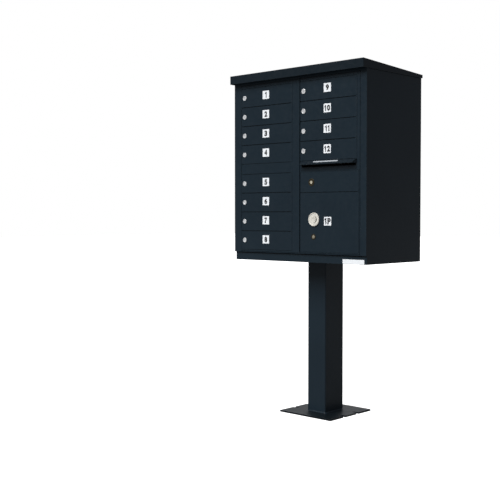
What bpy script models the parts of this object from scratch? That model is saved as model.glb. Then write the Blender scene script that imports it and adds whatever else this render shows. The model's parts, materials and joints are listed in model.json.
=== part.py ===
"""Cluster mailbox unit: twelve tenant doors, an outgoing mail door and a parcel locker on a pedestal.

X runs along the front from left to right, Y from front to back and Z up, all in metres.
The origin is on the ground, under the centre of the base plate.
Every door, lock and bolt is its own object, and a moving one has its origin on its joint's axis.
"""

import math

import bmesh
import bpy
from mathutils import Matrix, Vector

GAP = 0.0003  # kept between two solids that touch
CUT = 0.001  # how far a cutting shape reaches past the metal
PART_COLLECTION = "cluster_mailbox_unit"

# Cabinet shell
TOP = 1.575  # highest point of the roof cap
FRONT = -0.211  # front plane of the front frame and of every door
BACK = 0.204
BODY_FRONT = FRONT + 0.008  # the shell and the floor pan's skirt stand back from the front plane
BODY_HALF = 0.384
BODY_BOTTOM = 0.709
SHEET = 0.003
PAN_TOP = 0.744
SHELL_FLANGE = 0.020
PLACARD = (0.2565, 0.371, 0.7105, 0.7295)  # left, right, bottom, top
PLACARD_SHEET = 0.0008

# Roof cap
CAP_HALF = 0.389
CAP_EDGE = 1.536
CAP_FRONT = FRONT - 0.028
CAP_BACK = BACK + 0.0035
CAP_BACK_TOP = CAP_EDGE + 0.0145
CAP_SHEET = 0.0025

# Front frame: a folded ring round the two master doors
FRAME_HALF = 0.386
FRAME_BOTTOM = 0.747
FRAME_TOP = 1.566
LEFT_AXIS_X = -0.342  # master door hinges
RIGHT_AXIS_X = 0.354
HINGE_GAP = 0.0026  # from a master hinge's axis to the metal on either side
BARREL = 0.0022
BARREL_BORE = 0.0012
MASTER_PIN = 0.00085
MASTER_AXIS_Y = FRONT + BARREL
KNUCKLES = 7  # along each master hinge, alternately on the frame and on the door
KNUCKLE_GAP = 0.0006
FRAME_LEAF = (0.00135, 0.008)  # from the axis to the two ends of a leaf on the frame
FRAME_LEAF_Y = (0.0004, 0.0026)  # behind the front plane
DOOR_LEAF = (-0.0005, 0.0055)
DOOR_LEAF_Y = (0.0036, 0.0060)
MASTER_CLEARANCE = 0.0015  # above and below a master door

# Master door frames
MASTER_BOTTOM = 0.752
MASTER_TOP = 1.526
MASTER_DEPTH = 0.022
LEFT_MASTER = (LEFT_AXIS_X + HINGE_GAP, 0.0175)
RIGHT_MASTER = (0.022, RIGHT_AXIS_X - HINGE_GAP)
HIDDEN_STILE = 0.008  # the stile behind the lock edge of the doors
HINGE_STILE = 0.013  # from a door's rolled edge to the way into the compartment
DOOR_STOP = 0.005  # overlap of a door on the frame behind it, above and below
STILE_WALL = 0.006
THIN_WALL = 0.0035
STRIP_WALL = 0.004
SEAT_OVER = 0.005
SEAT_PLAY = 0.0004
ROD_CAP = 0.0035  # metal left above a door rod
ROD_SHORT = 0.001
LUG_SETBACK = 0.0008  # the lugs between rolled edges stand back from the front plane
LUG_HALF = 0.0008
LUG_ABOVE = 0.010
LUG_BELOW = 0.006

# Tenant doors
DOOR_WIDTH = 0.314
DOOR_PITCH = 0.0885
DOOR_GAP = 0.0035
GROUP = 4  # tenant doors in a group
DOOR_PLATE = 0.003
ROLL = 0.0045  # outer radius of a door's rolled hinge edge
ROLL_BORE = 0.0019
ROD = 0.00145
UPPER_DOORS_TOP = 1.513
LOWER_DOORS_TOP = 1.112
LEFT_DOORS_X = -0.339
RIGHT_DOORS_X = 0.022
LOCK_INSET = 0.019  # from a tenant door's free edge to its lock
RECESS = 0.004  # depth of the seat behind the doors
CHANNEL = 0.0097  # depth of the groove for the rolled edges
EDGE_GAP = 0.0007
ROLL_END_PLAY = 0.00045
CHANNEL_PLAY = 0.0005

# Outgoing mail door and parcel door
WIDE_DOORS_X = (0.0225, 0.3475)
OUTGOING_DOOR_Z = (1.0210, 1.1110)
PARCEL_DOOR_Z = (0.7572, 1.0185)
WIDE_PLAY = 0.001
SLOT_PANEL = (0.0273, 0.3372, 1.1153, 1.1519)
PANEL_SHEET = 0.004
FILLER_SHEET = 0.0033
SLOT = (0.032, 0.330, 1.1325, 1.1500)  # mail slot: left, right, bottom, top
HOOD = (0.026, 0.336, 1.1425, 1.1590)
HOOD_REACH = 0.022
HOOD_TOP_REACH = 0.004
HOOD_SHEET = 0.0016
HOOD_INSET = 0.012

# Locks
PLUG = 0.007
PLUG_HOLE = 0.00735
PLUG_PROUD = 0.0012
CAM_FRONT = MASTER_DEPTH + 0.0005
CAM_THICKNESS = 0.002
PLUG_TAIL = CAM_FRONT + CAM_THICKNESS + 0.0006  # the plug ends just behind its cam
CAM_REACH = 0.020
CAM_HALF = 0.004
KEYWAY = 0.0006  # half the width
KEYWAY_SHARE = 0.62
KEYWAY_DEPTH = 0.0032
NOSE_PLAY = 0.0005
ARROW_LOCK = (0.0870, 1.0645)
ARROW_CASE = (0.029, 0.031, 0.021)  # to the left and the right of the plug, and half the height
ARROW_NOSE = 0.0103
ARROW_NOSE_PROUD = 0.0016
ARROW_PLUG_PROUD = 0.001
ARROW_BOLT = (0.062, 0.005, 0.016)
ARROW_BOLT_LEFT = 0.0506  # from the plug's axis to the bolt's free end
ARROW_BOLT_PLAY = 0.0004
ARROW_SLOT_END = 0.016
PARCEL_LOCK = (0.1035, 0.9004)
PARCEL_FLANGE = 0.0298
PARCEL_PROUD = 0.0045
PARCEL_BARREL = 0.0195
PARCEL_BARREL_END = 0.020
PARCEL_BORE = 0.0095
PARCEL_PLUG = 0.009
PARCEL_PLUG_PROUD = 0.0007
PARCEL_CAM_REACH = 0.079
PARCEL_CAM_HALF = 0.006
CONTROL_LOCK = (0.1000, 0.8240)
CONTROL_CAM_REACH = 0.016

# Compartments
RACK_SETBACK = 0.030
RACK_FRONT = FRONT + RACK_SETBACK
RACK_BACK = BACK - SHEET - 0.001
RACK_SHEET = 0.002
LEFT_RACK = (-0.3475, -0.0245)
RIGHT_RACK = (0.0135, 0.3505)
RIGHT_UPPER_WALL = 0.3365
PARCEL_FLOOR = 0.7535

# Pedestal
TUBE_HALF_X = 0.053
TUBE_HALF_Y = 0.0675
TUBE_WALL = 0.004
TUBE_CORNER = 0.006
BASE = (0.300, 0.305, 0.008)
BASE_SLOT_Y = 0.050
BASE_SLOT = 0.008  # half the width of an anchor slot
BASE_SLOT_DEPTH = 0.020
TOP_PLATE = (0.230, 0.250, 0.008)
TOP_PLATE_TOP = PAN_TOP - SHEET - GAP
BOLT_X = 0.085
BOLT_Y = 0.095
BOLT = 0.006
BOLT_PLAY = 0.0004
BOLT_ACROSS = 0.011
BOLT_HEAD = 0.0035
BOLT_NUT = 0.010
BOLT_TIP = 0.004

# Latch of the left master door
LATCH_X = -0.003
LATCH_WIDTH = 0.010
LATCH_TRAVEL = 0.012
LATCH_Y = (FRONT + MASTER_DEPTH + 0.0005, FRONT + MASTER_DEPTH + 0.0060)
LATCH_Z = (PAN_TOP + 0.0025, 0.900)
LATCH_PLAY = 0.0004
LATCH_THUMB = 0.012
LATCH_THUMB_Z = 0.812
LATCH_GUIDES_Z = (0.775, 0.850)
GUIDE = 0.010
GUIDE_WALL = 0.003
GUIDE_ROOT = 0.0005
BRIDGE = 0.0020
BRIDGE_SETBACK = 0.0001
KEEPER_PLAY = 0.002

PAINT = ("painted_steel", (0.017, 0.028, 0.036), 0.42, 0.0)
DOOR_PAINT = ("painted_door", (0.019, 0.031, 0.040), 0.42, 0.0)
PEDESTAL_PAINT = ("painted_pedestal", (0.016, 0.026, 0.034), 0.45, 0.0)
GALVANISED = ("galvanised_sheet", (0.50, 0.51, 0.52), 0.45, 0.9)
STEEL = ("bright_steel", (0.62, 0.62, 0.60), 0.30, 1.0)
BRASS = ("brass", (0.55, 0.40, 0.17), 0.35, 1.0)
LABEL = ("label_plate", (0.80, 0.80, 0.78), 0.50, 0.0)


def material(finish):
    """The material for a (name, colour, roughness, metallic) finish, made once."""
    name, colour, roughness, metallic = finish
    found = bpy.data.materials.get(name)
    if found:
        return found
    made = bpy.data.materials.new(name)
    made.use_nodes = True
    shader = made.node_tree.nodes["Principled BSDF"]
    shader.inputs["Base Color"].default_value = (*colour, 1.0)
    shader.inputs["Roughness"].default_value = roughness
    shader.inputs["Metallic"].default_value = metallic
    return made


def collection(name):
    found = bpy.data.collections.get(name)
    if not found:
        found = bpy.data.collections.new(name)
        bpy.context.scene.collection.children.link(found)
    return found


def box(low, high):
    """A shape: a box between two corners."""
    return ("box", Vector(low), Vector(high))


def rod(start, end, radius, sides=12):
    """A shape: a straight cylinder between two points."""
    return ("rod", Vector(start), Vector(end), radius, sides)


def add_shape(bm, shape):
    kind, start, end = shape[:3]
    middle = Matrix.Translation((start + end) / 2)
    if kind == "box":
        bmesh.ops.create_cube(bm, size=1.0, matrix=middle @ Matrix.Diagonal((*(end - start), 1.0)))
        return
    radius, sides = shape[3:]
    along = end - start
    turn = along.to_track_quat("Z", "Y").to_matrix().to_4x4()
    bmesh.ops.create_cone(bm, cap_ends=True, segments=sides, radius1=radius, radius2=radius,
                          depth=along.length, matrix=middle @ turn)


def finished_mesh(name, bm):
    """Turns a bmesh into a mesh and frees it."""
    mesh = bpy.data.meshes.new(name)
    bm.to_mesh(mesh)
    bm.free()
    return mesh


def mesh_of(name, shapes):
    bm = bmesh.new()
    for shape in shapes:
        add_shape(bm, shape)
    return finished_mesh(name, bm)


def place(name, mesh, finish, origin=(0, 0, 0)):
    """Shows a mesh, made in world coordinates, as a part whose own origin is at the given point."""
    mesh.transform(Matrix.Translation(-Vector(origin)))
    part = bpy.data.objects.new(name, mesh)
    part.location = origin
    collection(PART_COLLECTION).objects.link(part)
    mesh.materials.clear()
    mesh.materials.append(material(finish))
    return part


def solid(name, shapes, finish, origin=(0, 0, 0)):
    return place(name, mesh_of(name, shapes), finish, origin)


def boolean(part, operation, shapes):
    """Cuts the shapes from a part, or joins them to it. The shapes are in world coordinates."""
    tool_name = f"{part.name}_{operation.lower()}_{len(part.modifiers)}"
    tool = bpy.data.objects.new(tool_name, mesh_of(tool_name, shapes))
    tool.hide_render = True
    tool.display_type = "WIRE"
    collection("cutters").objects.link(tool)
    step = part.modifiers.new(operation.lower(), "BOOLEAN")
    step.operation = operation
    step.solver = "EXACT"
    step.object = tool


def cut(part, shapes):
    boolean(part, "DIFFERENCE", shapes)


def join(part, shapes):
    boolean(part, "UNION", shapes)


def evaluated_mesh(part, name):
    """A new mesh of the part with its modifiers applied, in the part's own coordinates."""
    bpy.context.view_layer.update()
    graph = bpy.context.evaluated_depsgraph_get()
    mesh = bpy.data.meshes.new_from_object(part.evaluated_get(graph))
    mesh.name = name
    return mesh


def baked(part, name):
    """The mesh of a part that was only made for it. The part and its cutters are removed."""
    made = evaluated_mesh(part, name)
    tools = [m.object for m in part.modifiers if m.type == "BOOLEAN"]
    for each in [part] + tools:
        bpy.data.objects.remove(each, do_unlink=True)
    return made


def show(name, mesh, origin):
    """One more object that shows a mesh, which copies may share."""
    part = bpy.data.objects.new(name, mesh)
    part.location = origin
    collection(PART_COLLECTION).objects.link(part)
    return part


def curve_mesh(name, outlines, height, filled=True):
    """A mesh from flat outlines in the XY plane, raised by height about Z = 0: a prism, or an open ribbon."""
    curve = bpy.data.curves.new(name, "CURVE")
    curve.dimensions = "2D"
    curve.fill_mode = "BOTH" if filled else "NONE"
    curve.extrude = height / 2
    for outline in outlines:
        spline = curve.splines.new("POLY")
        spline.points.add(len(outline) - 1)
        for point, (x, y) in zip(spline.points, outline):
            point.co = (x, y, 0.0, 1.0)
        spline.use_cyclic_u = filled
    guide = bpy.data.objects.new(name, curve)
    bpy.context.scene.collection.objects.link(guide)
    mesh = evaluated_mesh(guide, name)
    bpy.data.objects.remove(guide, do_unlink=True)
    bm = bmesh.new()
    bm.from_mesh(mesh)
    bmesh.ops.remove_doubles(bm, verts=bm.verts, dist=0.00001)
    bmesh.ops.recalc_face_normals(bm, faces=bm.faces)
    bm.to_mesh(mesh)
    bm.free()
    return mesh


def arc(centre, radius, start, end, steps):
    """Points along an arc, angles in degrees, both ends included."""
    angles = [math.radians(start + (end - start) * i / steps) for i in range(steps + 1)]
    return [(centre[0] + radius * math.cos(a), centre[1] + radius * math.sin(a)) for a in angles]


def rounded_rectangle(half_x, half_y, corner, steps=3):
    points = []
    for quarter, (sx, sy) in enumerate(((1, 1), (-1, 1), (-1, -1), (1, -1))):
        centre = (sx * (half_x - corner), sy * (half_y - corner))
        points += arc(centre, corner, 90 * quarter, 90 * quarter + 90, steps)
    return points


def cap_underside(y):
    """Height of the roof cap's inner face, which slopes down towards the back."""
    share = (y - CAP_FRONT) / (CAP_BACK - CAP_FRONT)
    return TOP + (CAP_BACK_TOP - TOP) * share - CAP_SHEET


def open_box(low, high, missing):
    """A bmesh box without the faces whose outward direction is listed."""
    bm = bmesh.new()
    add_shape(bm, box(low, high))
    bm.normal_update()
    gone = [f for f in bm.faces if any(f.normal.dot(Vector(d)) > 0.9 for d in missing)]
    bmesh.ops.delete(bm, geom=gone, context="FACES")
    return bm


def thicken(part, thickness, offset=-1.0):
    step = part.modifiers.new("sheet", "SOLIDIFY")
    step.thickness = thickness
    step.offset = offset
    step.use_even_offset = True


# Fixed parts of the cabinet


def make_cabinet_wrap():
    """Sides and back in one bent sheet, with a flange turned in at each front edge."""
    inner = BODY_HALF - SHELL_FLANGE
    outline = [(-inner, BODY_FRONT), (-BODY_HALF, BODY_FRONT), (-BODY_HALF, BACK),
               (BODY_HALF, BACK), (BODY_HALF, BODY_FRONT), (inner, BODY_FRONT)]
    middle = (BODY_BOTTOM + TOP) / 2
    mesh = curve_mesh("cabinet_wrap", [outline], TOP - BODY_BOTTOM, filled=False)
    for v in mesh.vertices:
        if v.co.z > 0:
            v.co.z = cap_underside(v.co.y) - GAP - middle
    mesh.transform(Matrix.Translation((0, 0, middle)))
    part = place("cabinet_wrap", mesh, PAINT)
    if mesh.polygons[0].normal.y * (1 if mesh.polygons[0].center.y < 0 else -1) > 0:
        mesh.flip_normals()
    thicken(part, SHEET)
    low = (-BODY_HALF + SHEET, BODY_FRONT - CUT, BODY_BOTTOM - CUT)
    high = (BODY_HALF - SHEET, BODY_FRONT + SHEET + CUT, PAN_TOP + GAP)
    cut(part, [box(low, high)])


def make_roof_cap():
    """A shallow lid, open underneath, whose top falls towards the back."""
    bm = open_box((-CAP_HALF, CAP_FRONT, CAP_EDGE), (CAP_HALF, CAP_BACK, TOP), [(0, 0, -1)])
    for v in bm.verts:
        if v.co.y > 0 and v.co.z > (CAP_EDGE + TOP) / 2:
            v.co.z = CAP_BACK_TOP
    thicken(place("roof_cap", finished_mesh("roof_cap", bm), PAINT), CAP_SHEET)


def make_floor_pan():
    """The floor, with a skirt turned down all round, bolt holes, and a keeper hole for the latch."""
    half = BODY_HALF - SHEET - GAP
    bm = open_box((-half, BODY_FRONT, BODY_BOTTOM), (half, BACK - SHEET - GAP, PAN_TOP), [(0, 0, -1)])
    part = place("floor_pan", finished_mesh("floor_pan", bm), PAINT)
    thicken(part, SHEET)
    half = LATCH_WIDTH / 2 + KEEPER_PLAY
    keeper = box((LATCH_X - half, LATCH_Y[0] - KEEPER_PLAY, PAN_TOP - 2 * SHEET),
                 (LATCH_X + half, LATCH_Y[1] + KEEPER_PLAY, PAN_TOP + CUT))
    cut(part, bolt_holes(PAN_TOP - SHEET - CUT, PAN_TOP + CUT) + [keeper])


def knuckle_spans(on_door):
    """Bottom and top of each hinge knuckle that belongs to the door, or else to the frame."""
    length = (MASTER_TOP - MASTER_BOTTOM) / KNUCKLES
    spans = []
    for i in range(KNUCKLES):
        if (i % 2 == 1) == on_door:
            bottom = MASTER_BOTTOM + i * length
            spans.append((bottom + KNUCKLE_GAP / 2, bottom + length - KNUCKLE_GAP / 2))
    return spans


def master_rod(x, radius, over=0.0, sides=12):
    """A cylinder along a master hinge's axis, longer than the door by over at each end."""
    return rod((x, MASTER_AXIS_Y, MASTER_BOTTOM - over), (x, MASTER_AXIS_Y, MASTER_TOP + over), radius, sides)


def add_knuckles(part, x, on_door, leaf, leaf_y):
    """Barrels round a master hinge's axis, each on a leaf that reaches between two offsets from it."""
    spans = knuckle_spans(on_door)
    join(part, [rod((x, MASTER_AXIS_Y, low), (x, MASTER_AXIS_Y, high), BARREL) for low, high in spans])
    inner, outer = sorted((x + leaf[0], x + leaf[1]))
    near, far = FRONT + leaf_y[0], FRONT + leaf_y[1]
    join(part, [box((inner, near, low), (outer, far, high)) for low, high in spans])


def make_front_frame():
    """A folded ring that the master doors close into, with its knuckles of both hinges."""
    low = Vector((-FRAME_HALF, FRONT, FRAME_BOTTOM))
    high = Vector((FRAME_HALF, BODY_FRONT - GAP, FRAME_TOP))
    fold = Vector((SHEET, SHEET, SHEET))
    part = solid("front_frame", [box(low, high)], PAINT)
    cut(part, [box(low + fold, (high.x - SHEET, BODY_FRONT + CUT, high.z - SHEET))])
    cut(part, [box((LEFT_AXIS_X - HINGE_GAP, FRONT - CUT, MASTER_BOTTOM - MASTER_CLEARANCE),
                   (RIGHT_AXIS_X + HINGE_GAP, BODY_FRONT, MASTER_TOP + MASTER_CLEARANCE))])
    for x, side in ((LEFT_AXIS_X, -1), (RIGHT_AXIS_X, 1)):
        add_knuckles(part, x, False, (side * FRAME_LEAF[0], side * FRAME_LEAF[1]), FRAME_LEAF_Y)
    cut(part, [master_rod(x, BARREL_BORE, CUT) for x in (LEFT_AXIS_X, RIGHT_AXIS_X)])


def make_master_pins():
    for name, x in (("left_master_hinge_pin", LEFT_AXIS_X), ("right_master_hinge_pin", RIGHT_AXIS_X)):
        solid(name, [master_rod(x, MASTER_PIN, sides=8)], STEEL)


def make_rack(name, sides, span, cells):
    """An open-fronted box of compartments. Its side walls reach down below its floor as skids."""
    left, right = sides
    bottom, top = span
    inside = (left + RACK_SHEET, right - RACK_SHEET)
    part = solid(name, [box((left, RACK_FRONT, bottom), (right, RACK_BACK, top))], GALVANISED)
    near, far = RACK_FRONT - CUT, RACK_BACK - RACK_SHEET
    rooms = [box((inside[0], near, low), (inside[1], far, high)) for low, high in cells]
    floor = cells[-1][0] - RACK_SHEET
    skids = box((inside[0], near, bottom - CUT), (inside[1], RACK_BACK + CUT, floor))
    cut(part, rooms + [skids])


def shelf_cells(top):
    """Four compartments one door pitch high, from the top down, with a sheet between each and the next."""
    half = RACK_SHEET / 2
    return [(top - DOOR_PITCH * (i + 1) + half, top - DOOR_PITCH * i - half) for i in range(GROUP)]


def make_racks():
    half = RACK_SHEET / 2
    foot = PAN_TOP + GAP
    middle = LOWER_DOORS_TOP + half
    make_rack("compartment_rack_left_lower", LEFT_RACK, (foot, middle), shelf_cells(LOWER_DOORS_TOP))
    upper = shelf_cells(UPPER_DOORS_TOP)
    top = UPPER_DOORS_TOP + half
    make_rack("compartment_rack_left_upper", LEFT_RACK, (middle + GAP, top), upper)
    shelf = (OUTGOING_DOOR_Z[0] + PARCEL_DOOR_Z[1]) / 2
    middle = upper[-1][0] - RACK_SHEET - GAP
    lower = [(shelf + half, middle - RACK_SHEET), (PARCEL_FLOOR, shelf - half)]
    make_rack("compartment_rack_right_lower", RIGHT_RACK, (foot, middle), lower)
    narrow = (RIGHT_RACK[0], RIGHT_UPPER_WALL)
    make_rack("compartment_rack_right_upper", narrow, (middle + GAP, top), upper)


def make_placard():
    x0, x1, z0, z1 = PLACARD
    front = BODY_FRONT - GAP
    solid("blank_placard", [box((x0, front - PLACARD_SHEET, z0), (x1, front, z1))], LABEL)


# Pedestal


def bolt_places():
    return [(x, y) for x in (-BOLT_X, BOLT_X) for y in (-BOLT_Y, BOLT_Y)]


def bolt_holes(bottom, top):
    return [rod((x, y, bottom), (x, y, top), BOLT + BOLT_PLAY) for x, y in bolt_places()]


def make_pedestal():
    make_pedestal_tube()
    make_base_plate()
    half_x, half_y, thickness = TOP_PLATE[0] / 2, TOP_PLATE[1] / 2, TOP_PLATE[2]
    bottom = TOP_PLATE_TOP - thickness
    slab = box((-half_x, -half_y, bottom), (half_x, half_y, TOP_PLATE_TOP))
    plate = solid("pedestal_top_plate", [slab], PEDESTAL_PAINT)
    cut(plate, bolt_holes(bottom - CUT, TOP_PLATE_TOP + CUT))


def make_pedestal_tube():
    outline = rounded_rectangle(TUBE_HALF_X, TUBE_HALF_Y, TUBE_CORNER)
    bore = rounded_rectangle(TUBE_HALF_X - TUBE_WALL, TUBE_HALF_Y - TUBE_WALL, TUBE_CORNER - TUBE_WALL)
    bottom = BASE[2] + GAP
    top = TOP_PLATE_TOP - TOP_PLATE[2] - GAP
    tube = curve_mesh("pedestal_tube", [outline, bore], top - bottom)
    tube.transform(Matrix.Translation((0, 0, (top + bottom) / 2)))
    place("pedestal_tube", tube, PEDESTAL_PAINT)


def make_base_plate():
    """The base plate has two anchor slots, open to the edge, on its left and two on its right."""
    half_x, half_y, thickness = BASE[0] / 2, BASE[1] / 2, BASE[2]
    slab = box((-half_x, -half_y, 0), (half_x, half_y, thickness))
    base = solid("pedestal_base_plate", [slab], PEDESTAL_PAINT)
    end = half_x - BASE_SLOT_DEPTH
    places = [(side, y) for side in (-1, 1) for y in (-BASE_SLOT_Y, BASE_SLOT_Y)]
    for side, y in places:
        cut(base, [rod((side * end, y, -CUT), (side * end, y, thickness + CUT), BASE_SLOT, 16)])
        inner, outer = sorted((side * end, side * (half_x + CUT)))
        cut(base, [box((inner, y - BASE_SLOT, -CUT), (outer, y + BASE_SLOT, thickness + CUT))])


def make_pedestal_bolts():
    """Each bolt's head is on the floor pan and its nut under the top plate."""
    head = PAN_TOP + GAP
    under = TOP_PLATE_TOP - TOP_PLATE[2] - GAP
    for i, (x, y) in enumerate(bolt_places()):
        shank = rod((x, y, under - BOLT_NUT - BOLT_TIP), (x, y, head + BOLT_HEAD / 2), BOLT)
        part = solid(f"pedestal_bolt_{i + 1}", [shank], STEEL)
        join(part, [rod((x, y, head), (x, y, head + BOLT_HEAD), BOLT_ACROSS),
                    rod((x, y, under - BOLT_NUT), (x, y, under), BOLT_ACROSS, 6)])


# Master doors


def door_centres(top):
    return [top - DOOR_PITCH * (i + 0.5) for i in range(GROUP)]


def tenant_spans(top):
    """Bottom and top of the groove behind each door's rolled edge in a group of four."""
    half = (DOOR_PITCH - DOOR_GAP) / 2 + ROLL_END_PLAY
    return [(z - half, z + half) for z in door_centres(top)]


def cut_hinge_channels(part, edge, spans):
    """Grooves for rolled edges that end at the given X. Lugs stay between them to carry the rod."""
    left, right = edge - 2 * ROLL - CHANNEL_PLAY, edge + EDGE_GAP
    cut(part, [box((left, FRONT - CUT, low), (right, FRONT + CHANNEL, high)) for low, high in spans])
    cut(part, [box((left, FRONT - 2 * CUT, spans[-1][0]), (right, FRONT + LUG_SETBACK, spans[0][1]))])


def tenant_openings(x0, x1, top):
    """Ways into the compartments, through the frame behind each tenant door."""
    half = (DOOR_PITCH - DOOR_GAP) / 2 - DOOR_STOP
    return [way_through(x0, x1, z - half, z + half) for z in door_centres(top)]


def way_through(x0, x1, bottom, top, front=FRONT + RECESS - CUT):
    """A shape that opens a master frame from a depth right through to its back."""
    return box((x0, front, bottom), (x1, FRONT + MASTER_DEPTH + CUT, top))


def seat(x0, x1, bottom, top):
    """The shallow seat that a column of doors closes into."""
    return box((x0 - SEAT_OVER, FRONT - CUT, bottom + GAP), (x1, FRONT + RECESS, top - GAP))


def door_rod(name, x, bottom, top):
    solid(name, [rod((x, FRONT + ROLL, bottom), (x, FRONT + ROLL, top), ROD, 10)], STEEL)


def rod_bore(x, bottom, top):
    return rod((x, FRONT + ROLL, bottom), (x, FRONT + ROLL, top), ROLL_BORE, 10)


def master_slab(name, sides, axis_x):
    """The full slab of a master door's frame, before it is cut."""
    origin = (axis_x, MASTER_AXIS_Y, (MASTER_BOTTOM + MASTER_TOP) / 2)
    slab = box((sides[0], FRONT, MASTER_BOTTOM), (sides[1], FRONT + MASTER_DEPTH, MASTER_TOP))
    return solid(name, [slab], DOOR_PAINT, origin)


def make_left_master():
    """The frame is a ladder that carries eight tenant doors and a filler panel between the two groups."""
    x0 = LEFT_MASTER[0]
    edge = LEFT_DOORS_X + DOOR_WIDTH
    hinge = edge - ROLL
    part = master_slab("left_master_frame", (x0, edge + EDGE_GAP - GAP), LEFT_AXIS_X)
    groups = (UPPER_DOORS_TOP, LOWER_DOORS_TOP)
    seat_right = edge - 2 * ROLL - SEAT_PLAY
    cut(part, [seat(x0, seat_right, LOWER_DOORS_TOP - GROUP * DOOR_PITCH, UPPER_DOORS_TOP)])
    left, right = x0 + HIDDEN_STILE, edge - HINGE_STILE
    low, high = LOWER_DOORS_TOP, UPPER_DOORS_TOP - GROUP * DOOR_PITCH
    cut(part, [way_through(left, right, low + STRIP_WALL, high - STRIP_WALL)])
    cut(part, [way for top in groups for way in tenant_openings(left, right, top)])
    for top in groups:
        cut_hinge_channels(part, edge, tenant_spans(top))
    add_knuckles(part, LEFT_AXIS_X, True, DOOR_LEAF, DOOR_LEAF_Y)
    cut(part, [master_rod(LEFT_AXIS_X, BARREL_BORE, CUT)])
    cut(part, [rod_bore(hinge, MASTER_BOTTOM - CUT, MASTER_TOP - ROD_CAP)])
    filler = box((LEFT_DOORS_X, FRONT, low + GAP), (seat_right - GAP, FRONT + FILLER_SHEET, high - GAP))
    solid("left_filler_panel", [filler], DOOR_PAINT)
    door_rod("left_door_rod", hinge, MASTER_BOTTOM + ROD_SHORT, MASTER_TOP - ROD_CAP - ROD_SHORT)


def make_left_stile():
    """A folded channel down the free side of the left master door, with the latch's guides on its back."""
    edge = LEFT_DOORS_X + DOOR_WIDTH
    x0, x1 = edge + EDGE_GAP, LEFT_MASTER[1]
    back = FRONT + MASTER_DEPTH
    part = solid("left_master_stile", [box((x0, FRONT, MASTER_BOTTOM), (x1, back, MASTER_TOP))], DOOR_PAINT)
    low, high = MASTER_BOTTOM + SHEET, MASTER_TOP - SHEET
    cut(part, [way_through(edge + STILE_WALL, x1 - SHEET, low, high, FRONT + SHEET)])
    join(part, latch_guides())
    cut(part, [latch_box(LATCH_PLAY)])


def make_right_master():
    """The frame carries four tenant doors, the mail slot, the outgoing mail door and the parcel door."""
    x0, x1 = RIGHT_MASTER
    edge, wide_edge = RIGHT_DOORS_X + DOOR_WIDTH, WIDE_DOORS_X[1]
    hinge, wide_hinge = edge - ROLL, wide_edge - ROLL
    upper_bottom = UPPER_DOORS_TOP - GROUP * DOOR_PITCH
    low, high = PARCEL_DOOR_Z[0] - WIDE_PLAY, OUTGOING_DOOR_Z[1] + WIDE_PLAY
    part = master_slab("right_master_frame", RIGHT_MASTER, RIGHT_AXIS_X)
    cut(part, [seat(x0, edge - 2 * ROLL - SEAT_PLAY, upper_bottom, UPPER_DOORS_TOP),
               seat(x0, wide_edge - 2 * ROLL - SEAT_PLAY, low, high)])
    inside = x0 + HIDDEN_STILE
    ways = [way_through(inside, wide_edge - HINGE_STILE, z0 + DOOR_STOP, z1 - DOOR_STOP)
            for z0, z1 in (OUTGOING_DOOR_Z, PARCEL_DOOR_Z)]
    px0, px1, pz0, pz1 = SLOT_PANEL
    panel_way = way_through(px0 - GAP, px1 + GAP, pz0 - GAP, pz1 + GAP, FRONT - CUT)
    cut(part, tenant_openings(inside, edge - HINGE_STILE, UPPER_DOORS_TOP) + ways + [panel_way])
    cut_hinge_channels(part, edge, tenant_spans(UPPER_DOORS_TOP))
    shelf = (OUTGOING_DOOR_Z[0] + PARCEL_DOOR_Z[1]) / 2
    cut_hinge_channels(part, wide_edge, [(shelf + LUG_HALF, high), (low, shelf - LUG_HALF)])
    lower_top = high + LUG_ABOVE
    cut(part, [way_through(edge + THIN_WALL, x1 - SHEET, lower_top, MASTER_TOP - SHEET, FRONT + SHEET)])
    add_knuckles(part, RIGHT_AXIS_X, True, (-DOOR_LEAF[0], -DOOR_LEAF[1]), DOOR_LEAF_Y)
    cut(part, [master_rod(RIGHT_AXIS_X, BARREL_BORE, CUT)])
    bottom = upper_bottom - LUG_BELOW
    cut(part, [rod_bore(hinge, bottom, MASTER_TOP - ROD_CAP),
               rod_bore(wide_hinge, MASTER_BOTTOM - CUT, lower_top)])
    door_rod("right_door_rod", hinge, bottom + ROD_SHORT, MASTER_TOP - ROD_CAP - ROD_SHORT)
    door_rod("lower_door_rod", wide_hinge, MASTER_BOTTOM + ROD_SHORT, lower_top - ROD_SHORT)


def make_mail_slot_panel():
    """The panel under the hood, with the slot that letters are posted through."""
    x0, x1, z0, z1 = SLOT_PANEL
    part = solid("mail_slot_panel", [box((x0, FRONT, z0), (x1, FRONT + PANEL_SHEET, z1))], DOOR_PAINT)
    x0, x1, z0, z1 = SLOT
    cut(part, [box((x0, FRONT - CUT, z0), (x1, FRONT + PANEL_SHEET + CUT, z1))])


def make_mail_slot_hood():
    """A sloping hood over the mail slot. Its free edge is shorter than the edge on the door."""
    x0, x1, low, high = HOOD
    reach = FRONT - HOOD_REACH
    bm = open_box((x0, reach, low), (x1, FRONT - GAP, high), [(0, 1, 0), (0, 0, -1)])
    for v in bm.verts:
        if v.co.y < reach + CUT:
            if v.co.z > (low + high) / 2:
                v.co.y = FRONT - HOOD_TOP_REACH
            else:
                v.co.x += HOOD_INSET if v.co.x < (x0 + x1) / 2 else -HOOD_INSET
    part = place("mail_slot_hood", finished_mesh("mail_slot_hood", bm), DOOR_PAINT)
    thicken(part, HOOD_SHEET)
    near, far = FRONT - GAP, FRONT + MASTER_DEPTH
    cut(part, [box((x0 - HOOD_REACH, near, low - CUT), (x1 + HOOD_REACH, far, high + CUT))])


# The left master door's latch, a bolt that slides down into the floor pan


def latch_box(clearance):
    half = LATCH_WIDTH / 2 + clearance
    over = LATCH_TRAVEL + CUT
    return box((LATCH_X - half, LATCH_Y[0] - clearance, LATCH_Z[0] - over),
               (LATCH_X + half, LATCH_Y[1] + clearance, LATCH_Z[1] + over))


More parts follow.
